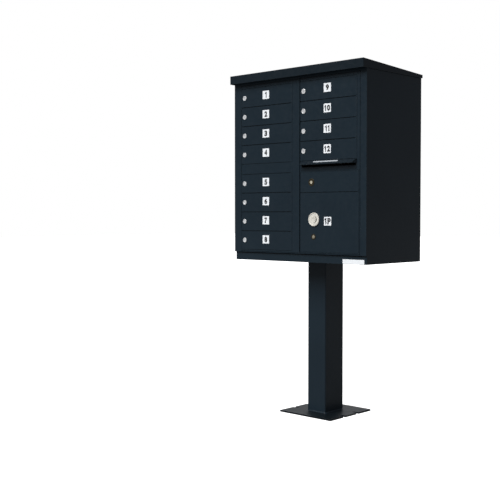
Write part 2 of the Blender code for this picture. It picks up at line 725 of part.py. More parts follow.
def latch_guides():
    """Loops round the latch on the back of the frame, each on a bridge across the stile's hollow."""
    half = LATCH_WIDTH / 2 + GUIDE_WALL
    back = FRONT + MASTER_DEPTH
    shapes = []
    for z in LATCH_GUIDES_Z:
        shapes.append(box((LATCH_X - half, back - GUIDE_ROOT, z),
                          (LATCH_X + half, LATCH_Y[1] + GUIDE_WALL, z + GUIDE)))
        shapes.append(box((LEFT_DOORS_X + DOOR_WIDTH + GUIDE_WALL, back - BRIDGE, z - SHEET),
                          (LEFT_MASTER[1] - CUT, back - BRIDGE_SETBACK, z + GUIDE + SHEET)))
    return shapes


def make_left_latch():
    half = LATCH_WIDTH / 2
    low = Vector((LATCH_X - half, LATCH_Y[0], LATCH_Z[0]))
    high = Vector((LATCH_X + half, LATCH_Y[1], LATCH_Z[1]))
    part = solid("left_master_latch", [box(low, high)], GALVANISED, (low + high) / 2)
    z = LATCH_THUMB_Z
    join(part, [box((low.x + CUT, high.y - CUT, z), (high.x - CUT, high.y + LATCH_THUMB, z + SHEET))])


# Doors


def door_profile(width):
    """Plan outline of a door plate whose right edge is rolled round the hinge axis at 0, 0, and the bore."""
    inner = ROLL - DOOR_PLATE
    meet = 180 + math.degrees(math.asin(inner / ROLL))
    plate = [(ROLL - width, -inner), (ROLL - width, -ROLL)] + arc((0, 0), ROLL, -90, meet, 12)
    return [plate, arc((0, 0), ROLL_BORE, 0, 324, 9)]


def door_mesh(name, width, height, holes):
    """A door in its own coordinates, cut by shapes that are relative to the hinge axis at mid height."""
    part = place(name + "_blank", curve_mesh(name, door_profile(width), height), DOOR_PAINT)
    cut(part, holes)
    return baked(part, name)


def through_door(x, z, radius, sides):
    """A round hole through a door, placed relative to its hinge axis."""
    return rod((x, -ROLL - CUT, z), (x, DOOR_PLATE - ROLL + CUT, z), radius, sides)


def tenant_places():
    """(number, free edge X, centre Z) of each tenant door."""
    left = door_centres(UPPER_DOORS_TOP) + door_centres(LOWER_DOORS_TOP)
    places = [(LEFT_DOORS_X, z) for z in left] + [(RIGHT_DOORS_X, z) for z in door_centres(UPPER_DOORS_TOP)]
    return [(i + 1, x, z) for i, (x, z) in enumerate(places)]


def make_tenant_doors():
    hole = through_door(LOCK_INSET + ROLL - DOOR_WIDTH, 0, PLUG_HOLE, 16)
    mesh = door_mesh("tenant_door", DOOR_WIDTH, DOOR_PITCH - DOOR_GAP, [hole])
    for number, x, z in tenant_places():
        show(f"tenant_door_{number:02d}", mesh, (x + DOOR_WIDTH - ROLL, FRONT + ROLL, z))


def make_wide_door(name, span, holes):
    x0, x1 = WIDE_DOORS_X
    axis, middle = x1 - ROLL, (span[0] + span[1]) / 2
    cuts = [through_door(x - axis, z - middle, radius, 20) for x, z, radius in holes]
    mesh = door_mesh(name, x1 - x0, span[1] - span[0], cuts)
    show(name, mesh, (axis, FRONT + ROLL, middle))


# Locks


def plug_mesh(name, finish, radius=PLUG, proud=PLUG_PROUD, tail=PLUG_TAIL, cam=None):
    """A lock plug along Y, its face towards -Y, with a keyway and a cam. Its origin is on the front plane."""
    part = solid(name + "_blank", [rod((0, -proud, 0), (0, tail, 0), radius, 16)], finish)
    if cam:
        join(part, [cam])
    reach = radius * KEYWAY_SHARE
    cut(part, [box((-KEYWAY, -proud - CUT, -reach), (KEYWAY, KEYWAY_DEPTH - proud, reach))])
    return baked(part, name)


def cam_shape(reach, direction, half_width):
    """A flat cam from the plug's axis to reach, along a direction in the XZ plane."""
    end = Vector((direction[0], 0, direction[1])) * reach
    side = Vector((abs(direction[1]), 0, abs(direction[0]))) * half_width
    corners = [end + side, end - side, side, -side]
    low = Vector((min(c.x for c in corners), CAM_FRONT, min(c.z for c in corners)))
    high = Vector((max(c.x for c in corners), CAM_FRONT + CAM_THICKNESS, max(c.z for c in corners)))
    return box(low, high)


def make_tenant_locks():
    mesh = plug_mesh("tenant_lock", STEEL, cam=cam_shape(CAM_REACH, (0, -1), CAM_HALF))
    for number, x, z in tenant_places():
        show(f"tenant_lock_{number:02d}", mesh, (x + LOCK_INSET, FRONT, z))


def make_arrow_lock():
    """The carrier's lock: a casting with a nose through the door, a plug and a bolt."""
    x, z = ARROW_LOCK
    left, right, half = ARROW_CASE
    back = FRONT + DOOR_PLATE + GAP
    bolt_y = (FRONT + CAM_FRONT, FRONT + CAM_FRONT + ARROW_BOLT[1])
    case = box((x - left, back, z - half), (x + right, FRONT + RACK_SETBACK, z + half))
    housing = solid("arrow_lock_housing", [case], BRASS)
    join(housing, [rod((x, FRONT - ARROW_NOSE_PROUD, z), (x, back + DOOR_PLATE, z), ARROW_NOSE, 20)])
    cut(housing, [rod((x, FRONT - DOOR_PLATE, z), (x, bolt_y[0] + CUT, z), PLUG_HOLE, 16)])
    play, bolt_half = ARROW_BOLT_PLAY, ARROW_BOLT[2] / 2
    cut(housing, [box((x - left - CUT, bolt_y[0] - play, z - bolt_half - play),
                      (x + ARROW_SLOT_END, bolt_y[1] + play, z + bolt_half + play))])
    plug = plug_mesh("arrow_lock_plug", BRASS, tail=CAM_FRONT - ARROW_NOSE_PROUD / 2)
    show("arrow_lock_plug", plug, (x, FRONT - ARROW_PLUG_PROUD, z))
    end = x - ARROW_BOLT_LEFT
    low = Vector((end, bolt_y[0], z - bolt_half))
    high = Vector((end + ARROW_BOLT[0], bolt_y[1], z + bolt_half))
    solid("arrow_lock_bolt", [box(low, high)], STEEL, (low + high) / 2)


def make_parcel_locks():
    x, z = PARCEL_LOCK
    flange = rod((x, FRONT - PARCEL_PROUD, z), (x, FRONT - GAP, z), PARCEL_FLANGE, 32)
    housing = solid("parcel_lock_housing", [flange], STEEL)
    near, far = FRONT - PARCEL_PROUD, FRONT + PARCEL_BARREL_END
    join(housing, [rod((x, FRONT - PARCEL_PROUD / 2, z), (x, far, z), PARCEL_BARREL, 24)])
    cut(housing, [rod((x, near - CUT, z), (x, far + CUT, z), PARCEL_BORE, 16)])
    cam = cam_shape(PARCEL_CAM_REACH, (0, 1), PARCEL_CAM_HALF)
    plug = plug_mesh("parcel_lock_plug", STEEL, PARCEL_PLUG, PARCEL_PROUD + PARCEL_PLUG_PROUD, cam=cam)
    show("parcel_lock_plug", plug, (x, FRONT, z))
    x, z = CONTROL_LOCK
    plug = plug_mesh("parcel_control_lock", STEEL, cam=cam_shape(CONTROL_CAM_REACH, (0, -1), CAM_HALF))
    show("parcel_control_lock", plug, (x, FRONT, z))


def main():
    for old in list(bpy.data.objects):
        bpy.data.objects.remove(old, do_unlink=True)
    make_cabinet_wrap()
    make_roof_cap()
    make_floor_pan()
    make_front_frame()
    make_master_pins()
    make_racks()
    make_placard()
    make_pedestal()
    make_pedestal_bolts()
    make_left_master()
    make_left_stile()
    make_right_master()
    make_mail_slot_panel()
    make_mail_slot_hood()
    make_left_latch()
    make_tenant_doors()
    make_tenant_locks()
    make_wide_door("outgoing_mail_door", OUTGOING_DOOR_Z, [(*ARROW_LOCK, ARROW_NOSE + NOSE_PLAY)])
    parcel_holes = [(*PARCEL_LOCK, PARCEL_BARREL + NOSE_PLAY), (*CONTROL_LOCK, PLUG_HOLE)]
    make_wide_door("parcel_door", PARCEL_DOOR_Z, parcel_holes)
    make_arrow_lock()
    make_parcel_locks()


main()
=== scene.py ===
"""Looks of the cluster mailbox unit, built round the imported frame, in metres and in the frame's axes."""

import json
import math

import bmesh
import bpy
from mathutils import Matrix, Vector


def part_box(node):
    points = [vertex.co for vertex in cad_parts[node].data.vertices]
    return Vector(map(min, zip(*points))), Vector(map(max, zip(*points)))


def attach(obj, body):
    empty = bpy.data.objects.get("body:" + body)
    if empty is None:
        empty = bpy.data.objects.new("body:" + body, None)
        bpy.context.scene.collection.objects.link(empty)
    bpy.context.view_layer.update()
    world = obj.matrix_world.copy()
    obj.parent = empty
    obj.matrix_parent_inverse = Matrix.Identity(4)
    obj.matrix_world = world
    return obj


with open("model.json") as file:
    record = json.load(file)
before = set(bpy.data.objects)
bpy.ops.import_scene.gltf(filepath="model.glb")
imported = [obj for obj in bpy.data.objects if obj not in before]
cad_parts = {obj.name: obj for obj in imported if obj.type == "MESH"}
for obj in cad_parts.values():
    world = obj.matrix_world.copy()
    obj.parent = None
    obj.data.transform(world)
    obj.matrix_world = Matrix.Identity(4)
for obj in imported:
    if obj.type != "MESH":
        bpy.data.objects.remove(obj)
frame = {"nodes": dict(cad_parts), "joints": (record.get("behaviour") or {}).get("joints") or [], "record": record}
NODES = frame["nodes"]
JOINTS = {j["name"]: j for j in frame["joints"]}
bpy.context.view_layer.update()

TENANTS = [f"{i:02d}" for i in range(1, 13)]

# Camera
CAMERA_PLACE = (2.6951, -3.3648, 0.9203)
CAMERA_YAW = math.radians(43.396)
CAMERA_PITCH = math.radians(-2.173)
CAMERA_ROLL = math.radians(-0.03)
CAMERA_LENS = 66.37
SENSOR = 36.0

# Finishes, in linear colour
PAINT = (0.0075, 0.0155, 0.0235)
PAINT_LIGHT = (0.0090, 0.0180, 0.0265)
# Darker paint: painted shade on the mail slot hood and the panel under it, and the roof cap's darker front
PAINT_DARKER_AND_SHADE = (0.0045, 0.0098, 0.0150)
PAINT_DARKER_AND_SHADE_LIGHT = (0.0056, 0.0116, 0.0172)
# Much darker paint: painted shade on the pedestal base plate, which the cabinet shades from above
PAINT_SHADED_BASE = (0.0024, 0.0052, 0.0078)
PAINT_SHADED_BASE_LIGHT = (0.0030, 0.0062, 0.0090)
DUST = (0.20, 0.19, 0.17)
DUST_AMOUNT = 0.010
ALUMINIUM = (0.56, 0.57, 0.58)
STEEL = (0.78, 0.79, 0.80)
ZINC = (0.52, 0.53, 0.54)
CREAM = (0.86, 0.83, 0.75)
AGED = (0.42, 0.38, 0.29)
BRASS = (0.86, 0.80, 0.62)
LABEL = (0.88, 0.91, 0.94)
# The hood's white label is coloured grey: painted shade on the hood's slope
LABEL_PAINTED_SHADE = (0.40, 0.43, 0.46)
INK = (0.012, 0.012, 0.013)
SHADE = (0.010, 0.010, 0.011)
# Dark bronze, also used as painted shadow for the crescent on the parcel lock
BRONZE_AND_PAINTED_SHADOW = (0.036, 0.027, 0.012)

# Studio
FLOOR_REACH = 30.0
FLOOR_DROP = 0.0002
FLOOR_SEEN = 0.92
FLOOR_BOUNCE = 0.18
FLOOR_GLOW = 0.5  # keeps the shadow on the floor pale, as in a catalogue picture
SUN_DIRECTION = (-0.12, -0.70, 0.70)  # from the object towards the light
SUN_POWER = 3.75
SUN_SPREAD = math.radians(40)
BACK_LIGHT_DIRECTION = (-0.40, 0.50, 0.80)
BACK_LIGHT_POWER = 2.0
BACK_LIGHT_SPREAD = math.radians(35)
AMBIENT = (0.158, 0.162, 0.172)

# Lock faces
RING_OUTER = 0.0110
RING_PROUD = 0.0018
PLUG = 0.0070  # a plug's radius
PLUG_GAP = 0.0002
SEAT_GAP = 0.00005  # between a piece and the face that it sits on
SLEEVE_END = 0.0205  # how far a lock's body reaches behind the door's face
THREAD_PITCH = 0.0012
THREAD_DEPTH = 0.0004
BODY_OUTER = 0.0092
NUT_CORNER = 0.0125  # from the axis to a corner
NUT_THICKNESS = 0.004
NUT_CHAMFER = (0.001, 0.0008)  # inward and along the axis
DOOR_PLATE = 0.003
ARROW_ESCUTCHEON = (0.0109, 0.0168, 0.0012)  # inner radius, outer radius, height
ARROW_FACE = (PLUG + 0.0009, 0.0101, 0.0006, 0.0002)  # the last is the width of the rounded edge
PARCEL_RIM = (0.0260, 0.0295, 0.0013)
PARCEL_CORE_RING = (0.0100, 0.0128, 0.0010)
# A dark crescent of painted shadow on the parcel lock, where its recess round the core is shaded
PARCEL_PAINTED_SHADOW = (0.0136, 0.0172, 0.0002, -75, 80)  # the last two are its ends, in degrees
CONTROL_RING = (PLUG + PLUG_GAP, 0.0125, 0.0014)

# Labels
LABEL_SIZE = (0.040, 0.038)
LABEL_CORNER = 0.0015
LABEL_PROUD = 0.0004
LABEL_RISE = 0.005  # from the door's middle up to the label's
LABEL_FROM_EDGE = 0.1535  # from the door's left edge to the label's middle
DIGIT_HEIGHT = 0.0260
PARCEL_DIGIT_HEIGHT = 0.0285
DIGIT_WIDTH = 0.66  # this and the next two are shares of a digit's height
DIGIT_SPACE = 0.20
NUMERAL_ONE = ((0.17, 0), (0.37, 0), (0.37, 1), (0.22, 1), (0.0, 0.80), (0.0, 0.62), (0.17, 0.72))
INK_WEIGHT = 0.055  # how much the font's strokes are thickened
INK_PROUD = 0.0001
PARCEL_LABEL = (0.1790, 0.8930)  # the X and Z of its middle
HOOD_SHEET = 0.0016
HOOD_TOP_SET = 0.0037  # the slope's upper edge stands this far in front of the hood's back
HOOD_LABEL = (0.135, 0.0080)
HOOD_LABEL_CORNER = 0.001
HOOD_LABEL_PROUD = 0.0003
HOOD_LABEL_FROM_END = 0.1470  # from the hood's left end to the label's middle
HOOD_LABEL_RISE = 0.0128  # from the slope's lower edge up to the label's
HOOD_LABEL_LIFT = 0.0001

# Welds
TUBE_CORNER = 0.006
CAD_GAP = 0.0003  # between the tube and the plates at its ends
WELD = 0.0045
WELD_STEP = 0.0015
WELD_ROOT = 0.0005  # how far a bead runs into the tube's wall
WELD_HOLLOW = 0.92  # how far its face curves in, as a share of its size
WELD_RIPPLES = ((0.10, 2.1), (0.05, 0.63))  # share of its size, and turn in radians from step to step

# Radius of the rounded edges of the sheet pieces
EDGE_ROUNDING = {
    "cabinet_wrap": 0.0012, "roof_cap": 0.0012, "floor_pan": 0.0010, "front_frame": 0.0007,
    "left_master_frame": 0.0007, "right_master_frame": 0.0007, "mail_slot_hood": 0.0005,
    "left_master_stile": 0.0007, "left_filler_panel": 0.0007, "mail_slot_panel": 0.0005,
    "outgoing_mail_door": 0.0007, "parcel_door": 0.0007,
    "pedestal_base_plate": 0.0010, "pedestal_top_plate": 0.0008, "left_master_latch": 0.0006,
    "arrow_lock_housing": 0.0008, "arrow_lock_bolt": 0.0008,
    **{f"tenant_door_{number}": 0.0007 for number in TENANTS},
}


def new_material(name, roughness, metallic=0.0):
    made = bpy.data.materials.new(name)
    made.use_nodes = True
    shader = made.node_tree.nodes["Principled BSDF"]
    shader.inputs["Roughness"].default_value = roughness
    shader.inputs["Metallic"].default_value = metallic
    return made, made.node_tree, shader


def node(tree, kind, **inputs):
    made = tree.nodes.new(kind)
    for key, value in inputs.items():
        made.inputs[key.replace("_", " ")].default_value = value
    return made


def noise(tree, scale, detail=3.0, stretch=(1, 1, 1)):
    """A noise in the piece's own space. A higher stretch on an axis makes the grain shorter along it."""
    where = tree.nodes.new("ShaderNodeTexCoord")
    grid = node(tree, "ShaderNodeMapping", Scale=stretch)
    tree.links.new(where.outputs["Object"], grid.inputs["Vector"])
    made = node(tree, "ShaderNodeTexNoise", Scale=scale, Detail=detail)
    tree.links.new(grid.outputs["Vector"], made.inputs["Vector"])
    return made.outputs["Fac"]


def ramp(tree, source, low, high, start=0.35, end=0.65):
    """Turns a noise into a blend of two colours, or two grey values."""
    made = tree.nodes.new("ShaderNodeValToRGB")
    made.color_ramp.elements[0].position = start
    made.color_ramp.elements[1].position = end
    for element, value in zip(made.color_ramp.elements, (low, high)):
        element.color = (*value, 1.0) if hasattr(value, "__len__") else (value, value, value, 1.0)
    tree.links.new(source, made.inputs["Fac"])
    return made.outputs["Color"]


def bump(tree, shader, source, height, strength):
    made = node(tree, "ShaderNodeBump", Strength=strength, Distance=height)
    tree.links.new(source, made.inputs["Height"])
    tree.links.new(made.outputs["Normal"], shader.inputs["Normal"])


def speckled(tree, tone):
    """A tone with fine, slightly lighter specks."""
    speck = ramp(tree, noise(tree, 900.0, 2.0), 0.0, 1.0, 0.60, 0.75)
    lighter = tree.nodes.new("ShaderNodeMixRGB")
    lighter.blend_type = "SCREEN"
    lighter.inputs["Color2"].default_value = (0.003, 0.004, 0.005, 1.0)
    tree.links.new(speck, lighter.inputs["Fac"])
    tree.links.new(tone, lighter.inputs["Color1"])
    return lighter.outputs["Color"]


def dusted(tree, colour):
    """A colour with a little patchy dust on what faces up."""
    facing = tree.nodes.new("ShaderNodeNewGeometry")
    split = tree.nodes.new("ShaderNodeSeparateXYZ")
    tree.links.new(facing.outputs["Normal"], split.inputs["Vector"])
    upward = ramp(tree, split.outputs["Z"], 0.0, 1.0, 0.55, 1.0)
    patchy = ramp(tree, noise(tree, 45.0, 6.0), 0.0, DUST_AMOUNT)
    amount = tree.nodes.new("ShaderNodeMath")
    amount.operation = "MULTIPLY"
    tree.links.new(upward, amount.inputs[0])
    tree.links.new(patchy, amount.inputs[1])
    dusty = tree.nodes.new("ShaderNodeMixRGB")
    dusty.inputs["Color2"].default_value = (*DUST, 1.0)
    tree.links.new(amount.outputs["Value"], dusty.inputs["Fac"])
    tree.links.new(colour, dusty.inputs["Color1"])
    return dusty.outputs["Color"]


def powder_coat(name, dark, light):
    """Satin powder coat: a fine orange peel, a slow change of tone, specks and a little dust."""
    made, tree, shader = new_material(name, 0.33)
    shader.inputs["Specular IOR Level"].default_value = 0.28
    tone = ramp(tree, noise(tree, 5.0, 4.0), dark, light)
    tree.links.new(dusted(tree, speckled(tree, tone)), shader.inputs["Base Color"])
    tree.links.new(ramp(tree, noise(tree, 60.0, 5.0), 0.29, 0.38), shader.inputs["Roughness"])
    bump(tree, shader, noise(tree, 650.0, 2.0), 0.00012, 0.35)
    return made


def plated(name, colour, roughness, grain, stretch, metallic=1.0):
    """Plated or mill-finish metal with a drawn grain and faint stains."""
    made, tree, shader = new_material(name, roughness, metallic)
    darker = tuple(c * 0.80 for c in colour)
    stains = ramp(tree, noise(tree, 40.0, 6.0), darker, colour, 0.30, 0.60)
    tree.links.new(stains, shader.inputs["Base Color"])
    drawn = ramp(tree, noise(tree, grain, 4.0, stretch), roughness * 0.8, roughness * 1.3)
    tree.links.new(drawn, shader.inputs["Roughness"])
    bump(tree, shader, noise(tree, grain, 3.0, stretch), 0.00004, 0.4)
    return made


def vinyl(name, colour, shaded):
    """Matt vinyl or ink, unevenly worn between two shades."""
    made, tree, shader = new_material(name, 0.42)
    tone = ramp(tree, noise(tree, 55.0, 5.0), shaded, colour, 0.25, 0.60)
    tree.links.new(tone, shader.inputs["Base Color"])
    tree.links.new(ramp(tree, noise(tree, 300.0, 3.0), 0.36, 0.50), shader.inputs["Roughness"])
    bump(tree, shader, noise(tree, 1500.0, 2.0), 0.00002, 0.3)
    return made


MATERIALS = {
    "cabinet_paint": powder_coat("cabinet_powder_coat", PAINT, PAINT_LIGHT),
    "door_paint": powder_coat("door_powder_coat", PAINT, PAINT_LIGHT),
    "pedestal_paint": powder_coat("pedestal_powder_coat", PAINT, PAINT_LIGHT),
    # darker paint: painted shade on the hood and the slot panel, and the roof cap's darker front
    "darker_paint_and_painted_shade": powder_coat("darker_and_shade_powder_coat", PAINT_DARKER_AND_SHADE, PAINT_DARKER_AND_SHADE_LIGHT),
    # painted shade on the pedestal base plate
    "painted_shade_base_paint": powder_coat("painted_shade_base_powder_coat", PAINT_SHADED_BASE, PAINT_SHADED_BASE_LIGHT),
    "rack_aluminium": plated("mill_aluminium", ALUMINIUM, 0.38, 180.0, (1, 12, 12)),
    "hinge_steel": plated("zinc_plate", ZINC, 0.34, 500.0, (1, 1, 1)),
    "lock_steel": plated("satin_nickel", STEEL, 0.30, 900.0, (1, 1, 1), 0.35),
    "lock_cream": plated("aged_nickel", CREAM, 0.32, 900.0, (1, 1, 1), 0.25),
    "lock_aged": plated("dull_nickel", AGED, 0.38, 900.0, (1, 1, 1), 0.5),
    # dark bronze, also painted shadow on the parcel lock
    "lock_bronze_and_painted_shadow": plated("dark_bronze_and_painted_shadow", BRONZE_AND_PAINTED_SHADOW, 0.40, 700.0, (1, 1, 1), 0.5),
    "lock_brass": plated("worn_brass", BRASS, 0.34, 700.0, (1, 1, 1), 0.6),
    "label_white": vinyl("white_vinyl", LABEL, tuple(c * 0.93 for c in LABEL)),
    # grey: painted shade on the hood's white label
    "label_white_painted_shade": vinyl("white_vinyl_painted_shade", LABEL_PAINTED_SHADE, tuple(c * 0.9 for c in LABEL_PAINTED_SHADE)),
    "label_ink": vinyl("printed_ink", INK, SHADE),
}

NODE_FINISH = {  # nodes that look unlike the rest of their slot
    # The roof cap, the hood and the panel under it are painted darker; on the hood and the panel this is painted
    # shade
    "roof_cap": "darker_paint_and_painted_shade",
    "mail_slot_hood": "darker_paint_and_painted_shade",
    "mail_slot_panel": "darker_paint_and_painted_shade",
    # The base plate is painted darker as painted shade, for the shade that the cabinet casts on it
    "pedestal_base_plate": "painted_shade_base_paint",
    "arrow_lock_housing": "lock_bronze_and_painted_shadow",
    "parcel_lock_housing": "lock_cream",
    "parcel_lock_plug": "lock_cream",
    "parcel_control_lock": "lock_aged",
}


def dress(piece, finish):
    """Gives a piece the material of its finish."""
    piece.data.materials.clear()
    piece.data.materials.append(MATERIALS[finish])


def show(name, mesh, body, finish, place=(0, 0, 0)):
    """A new piece that shows a mesh at a place in the frame and rides on a body."""
    piece = bpy.data.objects.new(name, mesh)
    piece.location = place
    bpy.context.scene.collection.objects.link(piece)
    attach(piece, body)
    dress(piece, finish)


def soften(piece, width):
    """Rounds a piece's sharp edges."""
    weld = piece.modifiers.new("weld", "WELD")
    weld.merge_threshold = 0.00001
    flat = piece.modifiers.new("flat", "DECIMATE")
    flat.decimate_type = "DISSOLVE"
    flat.angle_limit = math.radians(0.5)
    bevel = piece.modifiers.new("edges", "BEVEL")
    bevel.width = width
    bevel.segments = 2
    bevel.limit_method = "ANGLE"
    bevel.angle_limit = math.radians(35)
    bevel.harden_normals = True


def smooth(mesh, angle=35.0):
    mesh.shade_smooth()
    mesh.set_sharp_from_angle(angle=math.radians(angle))


def dress_cad_nodes():
    """Gives every CAD node its finish, and rounds the edges of the sheet pieces."""
    slots = {s["node"]: s["material_slot"] for s in frame["record"]["subparts"]}
    for name, piece in NODES.items():
        dress(piece, NODE_FINISH.get(name, slots[name]))
    for name, width in EDGE_ROUNDING.items():
        soften(NODES[name], width)


def to_mesh(name, bm):
    """A mesh of a bmesh, which is then freed."""
    mesh = bpy.data.meshes.new(name)
    bm.to_mesh(mesh)
    bm.free()
    return mesh


def solid(name, bm):
    """A mesh of a closed bmesh, with its faces pointing out."""
    bmesh.ops.recalc_face_normals(bm, faces=bm.faces)
    return to_mesh(name, bm)


def bridge(bm, one, two):
    """A band of faces between two closed loops of vertices."""
    for i in range(len(one)):
        j = (i + 1) % len(one)
        bm.faces.new((one[i], one[j], two[j], two[i]))


def turned(name, profile, steps=40):
    """A mesh turned about the Y axis from (radius, y) points. Its section is a closed loop."""
    bm = bmesh.new()
    sections = []
    for i in range(steps):
        a = 2 * math.pi * i / steps
        sections.append([bm.verts.new((r * math.cos(a), y, r * math.sin(a))) for r, y in profile])
    for one, two in zip(sections, sections[1:] + sections[:1]):
        bridge(bm, one, two)
    mesh = solid(name, bm)
    smooth(mesh)
    return mesh


def rounded_loop(bm, half_x, half_z, corner, inset, y, steps=5):
    """Vertices along a rectangle with round corners, in the XZ plane at a depth y, drawn in by an inset."""
    loop = []
    for quarter, (sx, sz) in enumerate(((1, 1), (-1, 1), (-1, -1), (1, -1))):
        for i in range(steps + 1):
            a = math.radians(90 * quarter + 90 * i / steps)
            x = sx * (half_x - corner) + (corner - inset) * math.cos(a)
            z = sz * (half_z - corner) + (corner - inset) * math.sin(a)
            loop.append(bm.verts.new((x, y, z)))
    return loop


def rounded_plate(name, width, height, depth, corner):
    """A plate in the XZ plane with round corners, from y = 0 forward to -depth, with a soft front edge."""
    lip = min(depth * 0.4, 0.0002)
    bm = bmesh.new()
    back, side, front = (rounded_loop(bm, width / 2, height / 2, corner, inset, y)
                         for inset, y in ((0, 0), (0, lip - depth), (lip, -depth)))
    bridge(bm, back, side)
    bridge(bm, side, front)
    bm.faces.new(front)
    bm.faces.new(back[::-1])
    return solid(name, bm)


def glyph(name, character):
    """One bold character in the XY plane, with its foot at y = 0 and its left at x = 0, and one unit high."""
    if character == "1":
        bm = bmesh.new()
        bm.faces.new([bm.verts.new((x, y, 0.0)) for x, y in NUMERAL_ONE])
        return to_mesh(name, bm)
    curve = bpy.data.curves.new(name, "FONT")
    curve.body = character
    curve.offset = INK_WEIGHT
    curve.resolution_u = 4
    guide = bpy.data.objects.new(name, curve)
    bpy.context.scene.collection.objects.link(guide)
    bpy.context.view_layer.update()
    mesh = bpy.data.meshes.new_from_object(guide.evaluated_get(bpy.context.evaluated_depsgraph_get()))
    bpy.data.objects.remove(guide)
    low = Vector(map(min, *(v.co for v in mesh.vertices)))
    high = Vector(map(max, *(v.co for v in mesh.vertices)))
    tall = high.y - low.y
    fit = Matrix.Diagonal((DIGIT_WIDTH / (high.x - low.x), 1 / tall, 1, 1))
    mesh.transform(fit @ Matrix.Translation(-low))
    return mesh


def text_mesh(name, words, height):
    """Bold lettering in the XZ plane, centred, facing -Y and a little raised."""
    bm = bmesh.new()
    pen = 0.0
    for character in words:
        mesh = glyph(f"{name}_{character}", character)
        mesh.transform(Matrix.Translation((pen, 0, 0)))
        pen = max(v.co.x for v in mesh.vertices) + DIGIT_SPACE
        bm.from_mesh(mesh)
    bmesh.ops.remove_doubles(bm, verts=bm.verts, dist=1e-6)
    grown = bmesh.ops.extrude_face_region(bm, geom=bm.faces[:])
    new = [v for v in grown["geom"] if isinstance(v, bmesh.types.BMVert)]
    bmesh.ops.translate(bm, verts=new, vec=(0, 0, INK_PROUD / height))
    mesh = solid(name, bm)
    middle = Vector(((pen - DIGIT_SPACE) / 2, 0.5, 0))
    turn = Matrix.Rotation(math.radians(90), 4, "X")
    mesh.transform(turn @ Matrix.Scale(height, 4) @ Matrix.Translation(-middle))
    mesh.shade_flat()
    return mesh


def ring(name, inner, outer, proud, lip=0.0006):
    """A face ring with rounded edges, from its seat at y = 0 forward to -proud."""
    return turned(name, [
        (inner, 0.0), (inner, lip - proud), (inner + lip * 0.3, lip * 0.3 - proud), (inner + lip, -proud),
        (outer - lip, -proud), (outer - lip * 0.3, lip * 0.3 - proud), (outer, lip - proud), (outer, 0.0)])


def crescent(name, inner, outer, proud, start, end, steps=16):
    """Part of a flat ring, between two angles in degrees from +X, from y = 0 forward to -proud."""
    bm = bmesh.new()
    loops = []
    for i in range(steps + 1):
        share = i / steps
        a = math.radians(start + (end - start) * share)
        taper = math.sin(math.pi * min(max(share, 0.04), 0.96)) ** 0.6
        middle, half = (inner + outer) / 2, (outer - inner) / 2 * taper
        corners = ((middle - half, 0), (middle - half, -proud), (middle + half, -proud), (middle + half, 0))
        loops.append([bm.verts.new((r * math.cos(a), y, r * math.sin(a))) for r, y in corners])
    for one, two in zip(loops, loops[1:]):
        bridge(bm, one, two)
    bm.faces.new(loops[0][::-1])
    bm.faces.new(loops[-1])
    return solid(name, bm)


def make_tenant_locks():
    """A face ring, threaded body and nut on each tenant door, round the plug, which turns in it."""
    face = ring("lock_ring", PLUG + PLUG_GAP, RING_OUTER, RING_PROUD)
    sleeve = [(PLUG + PLUG_GAP, DOOR_PLATE)]
    back = DOOR_PLATE + SEAT_GAP
    y = back
    while y < SLEEVE_END:
        sleeve += [(BODY_OUTER - THREAD_DEPTH, y), (BODY_OUTER, y + THREAD_PITCH / 2)]
        y += THREAD_PITCH
    sleeve += [(BODY_OUTER - THREAD_DEPTH, y), (PLUG + PLUG_GAP, y)]
    body = turned("lock_body", sleeve, 24)
    end, (inward, along) = back + NUT_THICKNESS, NUT_CHAMFER
    nut = turned("lock_nut", [
        (BODY_OUTER, back), (NUT_CORNER - inward, back), (NUT_CORNER, back + along),
        (NUT_CORNER, end - along), (NUT_CORNER - inward, end), (BODY_OUTER, end)], 6)
    nut.shade_flat()
    for number in TENANTS:
        place = Vector(JOINTS[f"lock_{number}_turn"]["pos_m"])
        show(f"lock_ring_{number}", face, f"door_{number}", "lock_steel", place - Vector((0, SEAT_GAP, 0)))
        show(f"lock_body_{number}", body, f"door_{number}", "lock_steel", place)
        show(f"lock_nut_{number}", nut, f"door_{number}", "hinge_steel", place)


def make_wide_door_locks():
    """Face rings round the arrow lock and the parcel door's two locks, and a dark crescent of painted shadow on
    the parcel lock.
    """
    seat = Vector((0, SEAT_GAP, 0))
    arrow = Vector(JOINTS["arrow_lock_turn"]["pos_m"])
    arrow.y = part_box("outgoing_mail_door")[0].y
    case = Vector((arrow.x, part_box("arrow_lock_housing")[0].y - SEAT_GAP, arrow.z))
    low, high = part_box("parcel_lock_housing")
    parcel = Vector(((low.x + high.x) / 2, low.y - SEAT_GAP, (low.z + high.z) / 2))
    control = Vector(JOINTS["control_lock_turn"]["pos_m"])
    faces = (
        ("arrow_lock_escutcheon", ring("arrow_escutcheon", *ARROW_ESCUTCHEON), "lock_bronze_and_painted_shadow", arrow - seat),
        ("arrow_lock_face", ring("arrow_face", *ARROW_FACE), "lock_bronze_and_painted_shadow", case),
        ("parcel_lock_rim", ring("parcel_rim", *PARCEL_RIM), "lock_cream", parcel),
        ("parcel_lock_core_ring", ring("parcel_core_ring", *PARCEL_CORE_RING), "lock_cream", parcel),
        ("parcel_lock_painted_shadow", crescent("parcel_painted_shadow", *PARCEL_PAINTED_SHADOW), "lock_bronze_and_painted_shadow", parcel),
        ("control_lock_ring", ring("control_ring", *CONTROL_RING), "lock_bronze_and_painted_shadow", control - seat))
    for name, mesh, finish, place in faces:
        show(name, mesh, "outgoing_door" if name.startswith("arrow") else "parcel_door", finish, place)


